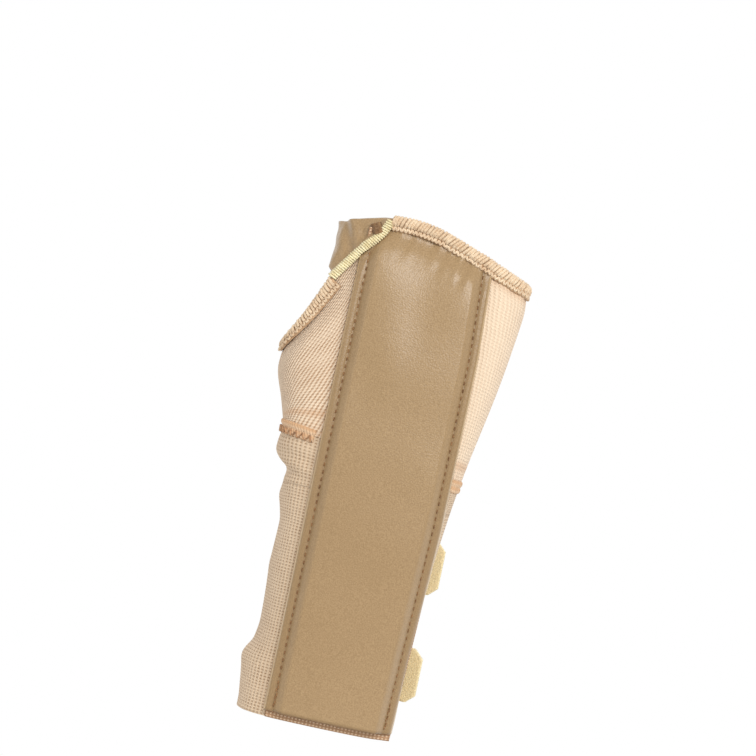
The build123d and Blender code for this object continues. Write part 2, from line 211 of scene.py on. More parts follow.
def cubic(t):
    """Weights of the four neighbours on a smooth curve, for t between the middle two."""
    return (
        (-t + 2 * t**2 - t**3) / 2,
        (2 - 5 * t**2 + 3 * t**3) / 2,
        (t + 4 * t**2 - 3 * t**3) / 2,
        (-(t**2) + t**3) / 2,
    )


def bare_point(angle, height):
    """Points on the knit's outside, as an array of places."""
    rows, columns = knit_net.shape
    steps_round = np.mod(np.asarray(angle, float), 360) / ANGLE_STEP
    steps_up = np.clip(np.asarray(height, float) / HEIGHT_STEP, 0, rows - 1.001)
    first_column, first_row = np.floor(steps_round).astype(int), np.floor(steps_up).astype(int)
    out = 0
    for k, up_weight in enumerate(cubic(steps_up - first_row)):
        row = np.clip(first_row + k - 1, 0, rows - 1)
        for i, round_weight in enumerate(cubic(steps_round - first_column)):
            out = out + up_weight * round_weight * knit_net[row, np.mod(first_column + i - 1, columns)]
    turn = np.radians(angle)
    return np.stack([AXIS_X + out * np.cos(turn), AXIS_Y + out * np.sin(turn), height + 0 * out], -1)


def ease(t):
    """From 0 to 1 with soft ends."""
    t = np.clip(t, 0, 1)
    return t * t * (3 - 2 * t)


def hump(value, middle, half_width):
    """1 at the middle, falling softly to 0."""
    return ease(1 - np.abs(np.asarray(value) - middle) / half_width)


def on_arm(angle, height, lift=0.0):
    """Points that stand a lift above the knit; on the thumb's side a high lift goes straight out."""
    angle, height = np.broadcast_arrays(np.asarray(angle, float), np.asarray(height, float))
    around = bare_point(angle + 0.6, height) - bare_point(angle - 0.6, height)
    along = bare_point(angle, height + 0.0008) - bare_point(angle, height - 0.0008)
    normal = np.cross(around, along)
    normal /= np.linalg.norm(normal, axis=-1, keepdims=True)
    turn = np.radians(angle)
    outward = np.stack([np.cos(turn), np.sin(turn), 0 * turn], -1)
    far = np.maximum(lift - 0.0015, 0) * hump(np.mod(angle, 360), THUMB_SIDE, 32.0)
    return bare_point(angle, height) + normal * (lift - far)[..., None] + outward * far[..., None]


def through(points, value):
    """Straight lines through an outline's points."""
    return np.interp(value, [p[0] for p in points], [p[1] for p in points])


def seam_height(x):
    (x0, z0), (x1, z1) = SEAM_AT
    return z0 + (x - x0) * (z1 - z0) / (x1 - x0)


def finger_edge(x):
    """The finger edge, rounded off between its points."""
    return sum(through(FINGER_EDGE, x + shift) for shift in np.linspace(-0.006, 0.006, 9)) / 9


def thumb_height(x):
    return through(THUMB_EDGE, x)


def thumb_x(height):
    return through([(z, x) for x, z in THUMB_EDGE], height)


def height_on(line, angle, drop, first):
    """Height at which a line, drawn square on to the palm, crosses the knit at an angle."""
    height = np.full(np.shape(angle), first)
    for _ in range(30):
        x = bare_point(angle, height)[..., 0]
        height = 0.5 * height + 0.5 * (line(x) - drop)
    return height


def bunching(angle, height):
    """How far the cloth stands off the arm on the thumb's side."""
    angle = np.mod(angle, 360)
    steps = [(z * MM, off * MM) for z, off in STANDS_OFF]
    stand = sum(through(steps, height + shift * MM) for shift in (-1.2, -0.6, 0, 0.6, 1.2)) / 5
    in_roll = hump(height, 0.0845, 0.012) * hump(angle, 205.0, 45.0)
    creases = 0.0005 * np.sin(height * 900 + angle * 0.09) * in_roll
    return stand * hump(angle, THUMB_SIDE, 44.0) + creases


def hand_place(s, t):
    """From the wrist seam up to the finger edge or the thumb's, with small flutes under the binding."""
    angle = PALM_MIDDLE + 360 * s
    low = height_on(seam_height, angle, 0.0, SEAM_START)
    fingers = height_on(finger_edge, angle, 0.0014, 0.150)
    thumb = height_on(thumb_height, angle, 0.0014, 0.135)
    height = low + (np.minimum(fingers, thumb) - low) * t
    flutes = np.sin(np.radians(angle) * 38) * 0.00022 * hump(t, 1.0, 0.22)
    return on_arm(angle, height, flutes + bunching(angle, height))


def hand_ribs(s, t):
    """Across and along the ribs: they lean beside the thumb and stand upright elsewhere."""
    angle = PALM_MIDDLE + 360 * s
    height = 0.093 + 0.068 * t
    around = np.radians(angle) * 0.030
    lean = 0.33 * hump(np.mod(angle, 360), 203.0, 85.0)
    return around - (height - 0.118) * lean, height


def hand_tint(s, t):
    """Brown just under the finger binding on the little finger's side, where the knit is gathered; a band
    above the seam that is partly thread showing through and partly painted shade of the overlap; and a little
    browner towards the seam.
    """
    side = np.mod(PALM_MIDDLE + 360 * s, 360)
    top = 0.50 * ease((t - 0.89) / 0.09) * (side > 300)
    return top + 0.38 * hump(t, 0.115 - 0.02 * (side > 290), 0.035) + 0.12 * ease((0.12 - t) / 0.08)


def hand_pale(s, t):
    """Flat, pale knit on the little finger's side."""
    return 0.75 * hump(np.mod(PALM_MIDDLE + 360 * s, 360), 330.0, 50.0)


def shown(name, mesh):
    """The finished mesh as an object in the scene."""
    for face in mesh.faces:
        face.smooth = True
    piece = bpy.data.objects.new(name, bpy.data.meshes.new(name))
    mesh.to_mesh(piece.data)
    mesh.free()
    bpy.context.scene.collection.objects.link(piece)
    return piece


def laid(name, columns, rows, place, cut_size, wall, closed=False, marks=None, ribs=None):
    """A cloth laid on the arm: place(s, t) gives its points, s across and t up, and its wall goes inwards."""
    mesh = bmesh.new()
    bmesh.ops.create_grid(mesh, x_segments=columns, y_segments=rows, size=0.5)
    s = np.array([v.co.x for v in mesh.verts]) + 0.5
    t = np.array([v.co.y for v in mesh.verts]) + 0.5
    cut = mesh.loops.layers.uv.new("cut")
    values = {mark: share(s, t) for mark, share in (marks or {}).items()}
    layers = {mark: mesh.verts.layers.float.new(mark) for mark in values}
    for v, point in zip(mesh.verts, place(s, t)):
        for mark, layer in layers.items():
            v[layer] = float(values[mark][v.index])
        v.co = point
    across, along = ribs(s, t) if ribs else (s * cut_size[0], t * cut_size[1])
    for face in mesh.faces:
        for loop in face.loops:
            loop[cut].uv = (across[loop.vert.index], along[loop.vert.index])
    if closed:
        bmesh.ops.remove_doubles(mesh, verts=mesh.verts, dist=1e-6)
    piece = shown(name, mesh)
    thickness = piece.modifiers.new("wall", "SOLIDIFY")
    thickness.thickness = wall
    thickness.offset = -1.0
    thickness.use_even_offset = False
    return piece


hand_knit = laid(
    "hand_knit", 400, 90, hand_place, (0.190, 0.072), KNIT_WALL, closed=True,
    ribs=hand_ribs, marks={"brown_and_painted_shade": hand_tint, "pale": hand_pale},
)


class Recipe:
    """A material's nodes, added one at a time."""

    def __init__(self, name):
        self.material = bpy.data.materials.new(name)
        self.material.use_nodes = True
        self.tree = self.material.node_tree
        self.shader = self.tree.nodes["Principled BSDF"]

    def feed(self, socket, value):
        """Joins a socket to another node, or stores a plain value in it."""
        if isinstance(value, bpy.types.NodeSocket):
            self.tree.links.new(value, socket)
        else:
            socket.default_value = value

    def node(self, kind, **settings):
        """A node with its settings: choices of its own are stored, and the rest are sockets."""
        made = self.tree.nodes.new("ShaderNode" + kind)
        for key, value in settings.items():
            if hasattr(made, key) and not isinstance(value, bpy.types.NodeSocket):
                setattr(made, key, value)
            else:
                self.feed(made.inputs[key.title()], value)
        return made

    def cut(self):
        """The place on the flat cloth, in metres."""
        return self.node("UVMap", uv_map="cut").outputs[0]

    def object_place(self):
        return self.node("TexCoord").outputs["Object"]

    def mark(self, name):
        """A share that is stored in the piece's mesh."""
        return self.node("Attribute", attribute_name=name).outputs["Fac"]

    def noise(self, place, scale, detail):
        return self.node("TexNoise", vector=place, scale=scale, detail=detail)

    def sum(self, operation, a, b=0.0):
        made = self.node("Math", operation=operation)
        self.feed(made.inputs[0], a)
        self.feed(made.inputs[1], b)
        return made.outputs[0]

    def wave(self, along, pitch, shift=0.0):
        """A wave between -1 and 1 with a pitch in metres."""
        return self.sum("SINE", self.sum("ADD", self.sum("MULTIPLY", along, 2 * math.pi / pitch), shift))

    def raised(self, wave):
        """A wave between -1 and 1, brought between 0 and 1."""
        return self.sum("ADD", self.sum("MULTIPLY", wave, 0.5), 0.5)

    def ramp(self, value, low, high, to_low=0.0, to_high=1.0):
        """A value between low and high, brought between two others and held at its ends."""
        made = self.node("MapRange", value=value)
        for socket, number in zip(made.inputs[1:5], (low, high, to_low, to_high)):
            socket.default_value = number
        return made.outputs[0]

    def blend(self, share, a, b):
        """Colour a where the share is 0 and b where it is 1."""
        mix = self.node("Mix", data_type="RGBA")
        self.feed(mix.inputs[0], share)
        self.feed(mix.inputs[6], a)
        self.feed(mix.inputs[7], b)
        return mix.outputs[2]

    def finish(self, base, roughness, bump, depth, strength, sheen=0.0):
        """The shader with its colour and its relief."""
        self.feed(self.shader.inputs["Base Color"], base)
        self.shader.inputs["Roughness"].default_value = roughness
        self.shader.inputs["Sheen Weight"].default_value = sheen
        self.shader.inputs["Sheen Roughness"].default_value = 0.5
        self.shader.inputs["Specular IOR Level"].default_value = 0.35
        relief = self.node("Bump", height=bump, strength=strength, distance=depth)
        self.tree.links.new(relief.outputs[0], self.shader.inputs["Normal"])
        return self.material


def colour(red, green, blue):
    """A colour of 0 to 255 in each channel, as the shader wants it."""
    channels = [c / 255 for c in (red, green, blue)]
    return tuple(c / 12.92 if c <= 0.04045 else ((c + 0.055) / 1.055) ** 2.4 for c in channels) + (1.0,)


def knit(name, light, dark, across, up, hole):
    """Knitted elastic: ribs across, small stitches along each rib, dark gaps or open holes between them."""
    r = Recipe(name)
    cloth_place = r.cut()
    wander = r.node("VectorMath", operation="MULTIPLY_ADD")
    r.feed(wander.inputs[0], r.noise(cloth_place, 130.0, 2.0).outputs["Color"])
    r.feed(wander.inputs[1], (0.0007, 0.0007, 0))
    r.feed(wander.inputs[2], cloth_place)
    parts = r.node("SeparateXYZ", vector=wander.outputs[0])
    ribs = r.wave(parts.outputs[0], across)
    stitches = r.wave(parts.outputs[1], up, r.sum("MULTIPLY", ribs, 0.9))
    rib_high, stitch_high = r.raised(ribs), r.raised(stitches)
    if hole:
        both = r.sum("MULTIPLY", r.sum("ADD", rib_high, stitch_high), 0.26)
        cover = r.sum("ADD", both, r.sum("MULTIPLY", r.sum("MAXIMUM", rib_high, stitch_high), 0.5))
    else:
        cover = r.sum("ADD", r.sum("MULTIPLY", rib_high, 0.80), r.sum("MULTIPLY", stitch_high, 0.26))
    patchy = r.noise(cloth_place, 210.0, 2.0).outputs[0]
    cover = r.sum("ADD", cover, r.sum("MULTIPLY", r.sum("SUBTRACT", patchy, 0.5), 0.55))
    tone = r.ramp(r.noise(cloth_place, 55.0, 4.0).outputs[0], 0.3, 0.7, 0.0, 0.35)
    strand = r.blend(tone, light, r.blend(0.45, light, dark))
    cloth = r.blend(r.ramp(cover, 0.02, hole if hole else 0.62), dark, strand)
    cloth = r.blend(r.mark("pale"), cloth, light)
    # Brown from the mesh's mark: partly thread showing through, partly painted shade of the seam's overlap.
    cloth = r.blend(r.mark("brown_and_painted_shade"), cloth, colour(190, 138, 92))
    height = r.sum("ADD", r.sum("MULTIPLY", rib_high, 0.65), r.sum("MULTIPLY", stitch_high, 0.35))
    return r.finish(cloth, 0.85, height, 0.00045, 0.8, sheen=0.08)


hand_knit.data.materials.append(
    knit("ribbed_knit", colour(232, 210, 183), colour(172, 134, 100), 0.00108, 0.00105, 0)
)
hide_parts("hand_sleeve")
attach(hand_knit, "root")

# ---- Forearm part: an open mesh of the same elastic, with small holes in rows and columns.
# A ring of it is sewn to the hand part and bunches up there. Below the ring the cloth is free
# Below the ring the cloth is free at the back and opens in two flaps at the sides; a strip lies under the
# palm panel.
RING_FOOT = 0.0790
FLAP_GAP = 0.0001
UNDER_PANEL_RADIAL, UNDER_PANEL_ULNAR = -0.0165, 0.0205
OPENING_RADIAL, OPENING_ULNAR = -0.0068, 0.0088


def angle_at(x, height, dorsal=False):
    """Angle at which the knit stands at x, on its palm side or its back."""
    x, height = np.broadcast_arrays(np.asarray(x, float), np.asarray(height, float))
    low, high = (2.0, 178.0) if dorsal else (182.0, 358.0)
    low, high = np.full(x.shape, low), np.full(x.shape, high)
    for _ in range(22):
        middle = (low + high) / 2
        rightward = bare_point(middle, height)[..., 0] > x
        go_on = rightward if dorsal else ~rightward
        low, high = np.where(go_on, middle, low), np.where(go_on, high, middle)
    return (low + high) / 2


def ring_place(s, t):
    angle = PALM_MIDDLE + 360 * s
    high = height_on(seam_height, angle, 0.0, SEAM_START)
    height = RING_FOOT + (high - RING_FOOT) * t
    return on_arm(angle, height, bunching(angle, height))


def palm_place(s, t):
    height = RING_FOOT * t
    first = angle_at(UNDER_PANEL_RADIAL - 0.001, height)
    last = angle_at(UNDER_PANEL_ULNAR + 0.001, height)
    return on_arm(first * (1 - s) + last * s, height, -0.0001)


def side_sheet(name, columns, panel_x, opening_x, width):
    """A sheet from under the palm panel round one side of the arm to the edge of the opening."""
    past_zero = 360 if panel_x > 0 else 0

    def place(s, t):
        share = s if panel_x > 0 else 1 - s
        height = (RING_FOOT - FLAP_GAP) * t
        first = angle_at(panel_x, height)
        angle = first + (angle_at(opening_x, height, dorsal=True) + past_zero - first) * share
        return on_arm(angle, height, bunching(angle, height))

    return laid(name, columns, 110, place, (width, 0.079), KNIT_WALL)


mesh_knit = knit("mesh_knit", colour(212, 188, 159), colour(160, 128, 98), 0.00122, 0.00104, 0.60)
wrist_ring = laid("wrist_ring", 260, 20, ring_place, (0.160, 0.016), KNIT_WALL, closed=True)
palm_mesh = laid("palm_mesh", 40, 60, palm_place, (0.040, 0.079), KNIT_WALL)
radial_mesh = side_sheet("radial_mesh", 110, UNDER_PANEL_RADIAL, OPENING_RADIAL, 0.052)
ulnar_mesh = side_sheet("ulnar_mesh", 80, UNDER_PANEL_ULNAR, OPENING_ULNAR, 0.034)
for piece in (wrist_ring, palm_mesh, radial_mesh, ulnar_mesh):
    piece.data.materials.append(mesh_knit)
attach(wrist_ring, "root")
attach(palm_mesh, "root")
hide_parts("forearm_sleeve")
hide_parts("radial_flap")
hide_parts("ulnar_flap")
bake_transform(radial_mesh)
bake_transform(ulnar_mesh)

# ---- Wrist seam: two rows of overlocked thread where the two knits are sewn together.
# It is a flat cover of thread with a zigzag over it, and runs round the sides and the back,
# with its ends under the palm panel's edges.
SEAM_WIDTH = 0.0046
SEAM_ROW = 2 * math.pi / 5700
ZIGZAG_PITCH = 0.0026
SEAM_BROWN, SEAM_LIGHT, DEEP_BROWN = colour(210, 168, 128), colour(234, 208, 176), colour(166, 124, 88)


class Line:
    """A line on the knit's outside, which bindings and stitches follow."""

    def __init__(self, angles, heights):
        self.points = on_arm(angles, heights)
        steps = np.linalg.norm(np.diff(self.points, axis=0), axis=1)
        self.marks = np.concatenate([[0], np.cumsum(steps)])
        self.length = self.marks[-1]
        tangent = np.gradient(self.points, axis=0)
        tangent /= np.linalg.norm(tangent, axis=1, keepdims=True)
        outward = on_arm(angles, heights, 0.001) - self.points
        outward /= np.linalg.norm(outward, axis=1, keepdims=True)
        self.down = np.cross(tangent, outward)
        if self.down[len(angles) // 2][2] > 0:
            self.down = -self.down

    def spot(self, along, drop):
        """Angle and height of a place at a distance along the line and a drop below it."""
        along, drop = np.broadcast_arrays(np.clip(along, 0, self.length), np.asarray(drop, float))
        place = np.stack([np.interp(along, self.marks, self.points[:, k]) for k in range(3)], -1)
        down = np.stack([np.interp(along, self.marks, self.down[:, k]) for k in range(3)], -1)
        place = place + down * drop[..., None]
        angle = np.degrees(np.arctan2(place[..., 1] - AXIS_Y, place[..., 0] - AXIS_X))
        return angle, place[..., 2]


def yarn(name, paths, thickness):
    """Round threads along paths, closed at both ends, in one mesh."""
    mesh = bmesh.new()
    for path in paths:
        tangent = np.gradient(path, axis=0)
        tangent /= np.linalg.norm(tangent, axis=1, keepdims=True) + 1e-12
        outward = path - np.array([AXIS_X, AXIS_Y, 0])
        outward[:, 2] = 0
        side = np.cross(tangent, outward)
        side /= np.linalg.norm(side, axis=1, keepdims=True) + 1e-12
        outward = np.cross(side, tangent)
        count = len(path) - 1
        for v in bmesh.ops.create_grid(mesh, x_segments=count, y_segments=6, size=0.5)["verts"]:
            i, turn = round((v.co.x + 0.5) * count), (v.co.y + 0.5) * 2 * math.pi
            radius = 0.0 if i in (0, count) else thickness / 2
            v.co = path[i] + radius * (math.cos(turn) * outward[i] + math.sin(turn) * side[i])
    bmesh.ops.remove_doubles(mesh, verts=mesh.verts, dist=2e-6)
    bmesh.ops.recalc_face_normals(mesh, faces=mesh.faces)
    return shown(name, mesh)


def thread(name, light, dark):
    """Sewing thread or yarn: fine slanting strands, a little darker between them."""
    r = Recipe(name)
    place = r.object_place()
    strands = r.node("TexWave", vector=place, bands_direction="DIAGONAL", scale=1 / 0.0022, distortion=2.0)
    speck = r.sum("MULTIPLY", r.noise(place, 900.0, 3.0).outputs[0], 0.6)
    cloud = r.sum("MULTIPLY", r.noise(place, 160.0, 1.0).outputs[0], 0.6)
    share = r.ramp(r.sum("ADD", speck, cloud), 0.45, 0.75)
    return r.finish(r.blend(share, dark, light), 0.75, strands.outputs[1], 0.00015, 0.5, sheen=0.1)


def seam_cover():
    """Thread laid close across the seam, in a light and a brown row."""
    r = Recipe("seam_cover")
    parts = r.node("SeparateXYZ", vector=r.cut())
    slant = r.sum("MULTIPLY", parts.outputs[1], 0.6)
    rows = r.raised(r.wave(r.sum("ADD", parts.outputs[0], slant), SEAM_ROW))
    stripe = r.sum("MULTIPLY", r.raised(r.wave(parts.outputs[1], SEAM_WIDTH / 2)), 0.6)
    cover = r.blend(stripe, SEAM_BROWN, SEAM_LIGHT)
    cover = r.blend(r.sum("MULTIPLY", rows, 0.22), cover, DEEP_BROWN)
    return r.finish(cover, 0.8, rows, 0.0003, 0.7)


seam_angles = np.linspace(321.0, 582.0, 261)
seam_line = Line(seam_angles, height_on(seam_height, seam_angles, 0.0, SEAM_START))


def seam_place(s, t):
    rolls = 0.0003 + 0.0004 * np.abs(np.sin(t * 2 * math.pi)) - 0.0004 * ease(np.abs(2 * t - 1) * 6 - 5)
    angle, height = seam_line.spot(s * seam_line.length, (0.5 - t) * SEAM_WIDTH)
    return on_arm(angle, height, rolls + np.maximum(bunching(angle, height), 0))


seam_band = laid("seam_band", 260, 14, seam_place, (seam_line.length, SEAM_WIDTH), 0.0009)
seam_band.data.materials.append(seam_cover())

zigzag = []
for k in range(int(seam_line.length / ZIGZAG_PITCH)):
    if k * ZIGZAG_PITCH < seam_line.length * 0.30:
        continue
    along = k * ZIGZAG_PITCH + np.array([-0.2, 0.4, 1.3, 2.2, 2.8]) * MM
    angle, height = seam_line.spot(along, np.array([2.2, 2.0, 0.1, 2.0, 2.2]) * MM)
    rise = np.array([0.2, 0.8, 0.9, 0.8, 0.2]) * MM + np.maximum(bunching(angle, height), 0)
    zigzag.append(on_arm(angle, height, rise))
seam_zigzag = yarn("seam_zigzag", zigzag, 0.0006)
seam_thread = thread("seam_thread", colour(196, 152, 112), colour(168, 124, 88))
seam_zigzag.data.materials.append(seam_thread)
for piece in (seam_band, seam_zigzag):
    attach(piece, "root")
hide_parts("wrist_seam")

# ---- Pocket lining: thin tricot on the knit, which keeps the stay off the hand.
# It is sewn in with the panel and shows as a narrow strip under the panel's hem.
PANEL_RADIAL = -0.0205
PANEL_ULNAR = ((-0.020, 0.0230), (0.0, 0.0238), (0.074, 0.0262), (0.133, 0.0262), (0.172, 0.0244))
PANEL_FOOT = 0.0025
LINING_INSET, LINING_HEIGHT = 0.0012, 0.166
UNDER_FACE = 0.0060
panel_tree = tree_of("palm_panel")


def panel_ulnar(height):
    return through(PANEL_ULNAR, height)


def panel_face(x, height):
    """y of the panel's face on the frame."""
    found = np.empty(np.shape(x))
    for i, (across, up_at) in enumerate(zip(np.ravel(x), np.ravel(height))):
        across = min(max(across, PANEL_RADIAL + 0.0003), panel_ulnar(up_at) - 0.0005)
        up_at = min(max(up_at, PANEL_FOOT + 0.0003), through(FINGER_EDGE, across) - 0.0066)
        hit = panel_tree.ray_cast(Vector((across, -FAR_OUT, up_at)), Vector((0, 1, 0)))
        found.flat[i] = hit[0].y if hit[0] is not None else -0.022
    return found


def lining_place(s, t):
    x = PANEL_RADIAL + LINING_INSET + (panel_ulnar(LINING_HEIGHT * t) - PANEL_RADIAL - 2 * LINING_INSET) * s
    height = (finger_edge(x) - 0.004) * t
    place = on_arm(angle_at(x, height), height, 0.0009 * ease((x - thumb_x(height)) / 0.002))
    place[..., 1] = np.minimum(place[..., 1], panel_face(x, height) + UNDER_FACE)
    return place


def tricot():
    """Fine warp knit: small loops in rows."""
    r = Recipe("tricot")
    cloth_place = r.cut()
    wales = r.node("TexWave", vector=cloth_place, bands_direction="X", scale=240.0).outputs[1]
    courses = r.node("TexWave", vector=cloth_place, bands_direction="Y", scale=300.0).outputs[1]
    loops = r.sum("MULTIPLY", wales, courses)
    return r.finish(r.blend(loops, colour(164, 126, 94), colour(224, 194, 162)), 0.85, loops, 0.0002, 0.5)


lining = laid("lining", 60, 120, lining_place, (0.045, LINING_HEIGHT), 0.0008)
lining.data.materials.append(tricot())
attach(lining, "root")
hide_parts("pocket_lining")

# ---- Palm panel: soft leatherette, sewn down along both sides as a pocket for the stay.
# Its borders lie flat outside the stitches, its edges are rolled, and its top is gathered under
# the finger binding. Its upper corner on the thumb's side is cut off slantwise.
BORDER = 0.0031
LEATHER = 0.0012
EDGE_LIFT = 0.0011
TOP_LIFT = 0.0019
WRAP = 0.0078
STITCH_PITCH, STITCH_LENGTH = 0.0026, 0.0018
ROW_HEIGHT = 0.166


def from_edge(x, height):
    """How far a place lies inside the nearer side edge."""
    return np.minimum(x - PANEL_RADIAL, panel_ulnar(height) - x)


def pulled(x, height, inside):
    """Gathers under the finger binding, and the soft waves of the leatherette below them."""
    top = finger_edge(x)
    pull = np.sin(x * 900 + (top - height) * 380) * 0.6 + np.sin(x * 1430 - height * 300) * 0.4
    gathers = hump(height, top - 0.0062, 0.0125) * (0.35 + 0.65 * ease((x - 0.002) / 0.012))
    over_hand = ease((height - 0.085) / 0.05)
    wave = 0.00022 * np.sin(height * 95 + 1.0) * np.sin(x * 110 + 0.4)
    wave += 0.00008 * np.sin(height * 210 + x * 60)
    wave += 0.00045 * over_hand * np.sin(x * 190 + height * 62 + 0.6)
    wave += 0.00060 * over_hand * hump(x, 0.013, 0.012) * hump(height, 0.128, 0.045)
    return 0.00050 * pull * gathers * ease(inside / 0.004) + wave * ease(inside / 0.006)


def leather_at(x, height, lift=0.0):
    """Points on the panel's face: the full pocket, its stitched channels and its flat, rolled borders."""
    place = bare_point(angle_at(x, height), height)
    face = panel_face(x, height)
    place[..., 1] = np.minimum(place[..., 1], face + WRAP)
    inside = from_edge(x, height)
    under_binding = ease((height - (finger_edge(x) - 0.0120)) / 0.0090)
    filled = 0.56 + 0.44 * ease((inside - BORDER) / 0.0034)
    rise = (place[..., 1] - face) * filled * (1 - under_binding) + TOP_LIFT * under_binding
    dents = np.abs(np.sin(height * math.pi / STITCH_PITCH)) ** 0.5
    rise -= 0.00042 * hump(inside, BORDER, 0.0013) + 0.00025 * hump(inside, BORDER, 0.0005) * dents
    rolled = np.sqrt(1 - (1 - np.clip(inside / 0.0011, 0, 1)) ** 2)
    rise = EDGE_LIFT + (rise - EDGE_LIFT) * rolled + pulled(x, height, inside)
    corner = ease((x - thumb_x(height) + 0.0006) / 0.0075)
    place[..., 1] -= EDGE_LIFT + (rise - EDGE_LIFT) * corner + lift
    return place


def panel_spot(s, t):
    """x and height of a place in the panel, with its mesh closer towards the side edges."""
    grow = np.abs(2 * s - 1) ** 0.75 * np.sign(2 * s - 1) / 2 + 0.5
    height = PANEL_FOOT + 0.170 * t
    for _ in range(3):
        first = np.maximum(PANEL_RADIAL, thumb_x(height) + 0.0002)
        x = first + (panel_ulnar(height) - first) * grow
        height = PANEL_FOOT + (finger_edge(x) - 0.0012 - PANEL_FOOT) * t
    return x, height


def leatherette(name, base, dark, lit):
    """Coated cloth: a fine pebbled grain and a cloudy tone; borders are darker, cut rims paler, and the
    panel's foot has a painted shadow.
    """
    r = Recipe(name)
    place = r.object_place()
    pebbles = r.node("TexVoronoi", vector=place, feature="SMOOTH_F1", scale=1700.0, smoothness=0.4)
    creases = r.noise(place, 2300.0, 2.0).outputs[0]
    cloud = r.ramp(r.noise(place, 22.0, 2.0).outputs[0], 0.35, 0.7, 0.0, 0.35)
    cloth = r.blend(cloud, base, lit)
    cloth = r.blend(r.ramp(creases, 0.35, 0.65, 0.55, 0.0), cloth, dark)
    # Darker borders and stitch channels, and the painted shadow along the panel's foot.
    cloth = r.blend(r.mark("border_and_foot_shadow"), cloth, dark)
    cloth = r.blend(r.mark("rim"), cloth, colour(208, 180, 138))
    relief = r.sum("ADD", pebbles.outputs[0], r.sum("MULTIPLY", creases, 0.8))
    return r.finish(cloth, 0.34, relief, 0.00010, 0.45, sheen=0.03)


def border_and_foot_shadow_mark(s, t):
    """Darker outside the stitches and in their channel, and a painted shadow along the foot."""
    x, height = panel_spot(s, t)
    inside = from_edge(x, height)
    # Painted shadow along the panel's foot.
    foot = 0.9 * ease((PANEL_FOOT + 0.0011 - height) / 0.0008)
    outer = 0.38 * (1 - ease((inside - BORDER + 0.0002) / 0.0006))
    return np.maximum(np.maximum(outer, foot), 0.6 * hump(inside, BORDER, 0.0011))


def rim_mark(s, t):
    return 0.75 * (1 - ease((from_edge(*panel_spot(s, t)) - 0.0002) / 0.0005))


palm_leather = laid(
    "palm_leather", 110, 300, lambda s, t: leather_at(*panel_spot(s, t)), (0.0467, 0.172), LEATHER,
    marks={"border_and_foot_shadow": border_and_foot_shadow_mark, "rim": rim_mark},
)
tan_leatherette = leatherette(
    "panel_leatherette", colour(164, 136, 99), colour(134, 107, 73), colour(174, 146, 109)
)
palm_leather.data.materials.append(tan_leatherette)
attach(palm_leather, "root")
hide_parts("palm_panel")


def panel_stitch(side, start, shift, lift):
    """x, heights and lifts of one stitch in the row on the thumb's side (0) or the other side (1)."""
    height = PANEL_FOOT + start + np.linspace(0, STITCH_LENGTH, 5)
    x = PANEL_RADIAL + BORDER + 0 * height if side == 0 else panel_ulnar(height) - BORDER
    return x + shift, height, np.array(lift) * MM


panel_stitches = []
for side in (0, 1):
    for k in range(int(ROW_HEIGHT / STITCH_PITCH)):
        wander = 0.00006 * math.sin(k * 2.1 + side)
        start = 0.0012 + k * STITCH_PITCH
        x, height, lift = panel_stitch(side, start, wander, [-0.3, 0.12, 0.18, 0.12, -0.3])
        if height[-1] < finger_edge(x[-1]) - 0.0055 and x[-1] > thumb_x(height[-1]) + 0.0022:
            panel_stitches.append(leather_at(x, height, lift))
    for k in range(3):
        sewn_back = panel_stitch(side, 0.0022 + k * STITCH_PITCH, 0.0003, [-0.3, 0.1, 0.2, 0.1, -0.3])
        panel_stitches.append(leather_at(*sewn_back))
panel_stitching = yarn("panel_stitching", panel_stitches, 0.00052)
panel_stitching.data.materials.append(thread("stitching_thread", colour(150, 110, 70), colour(108, 74, 44)))
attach(panel_stitching, "root")

# ---- Stay: a bent strip of aluminium with round ends, loose in the pocket.
# It is bare metal with a satin finish, and slides out through the pocket's foot.


def satin_aluminium():
    r = Recipe("satin_aluminium")
    brushed = r.noise(r.object_place(), 500.0, 2.0).outputs[0]
    r.shader.inputs["Metallic"].default_value = 1.0
    return r.finish(colour(196, 197, 200), 0.34, brushed, 0.00004, 0.3)


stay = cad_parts["palm_stay"]
stay.data.materials.clear()
stay.data.materials.append(satin_aluminium())

# ---- Finger binding: thick yarn overlocked over the knit's top edge and the panel's.
# A core of yarn folds over the edge, slanting loops wrap it, and a scalloped row runs below them.
FINGER_WRAP = 0.0048
ON_PANEL = 0.00175
binding_yarn = thread("binding_yarn", colour(228, 205, 174), colour(204, 174, 140))
binding_core = thread("binding_core", colour(196, 163, 128), colour(172, 136, 100))


def on_panel(angle, height):
    """How much higher the binding lies where it covers the panel's top."""
    angle = np.mod(angle, 360)
    x = bare_point(angle, height)[..., 0]
    return ON_PANEL * ease((from_edge(x, height) + 0.0008) / 0.0024) * (angle > 180)


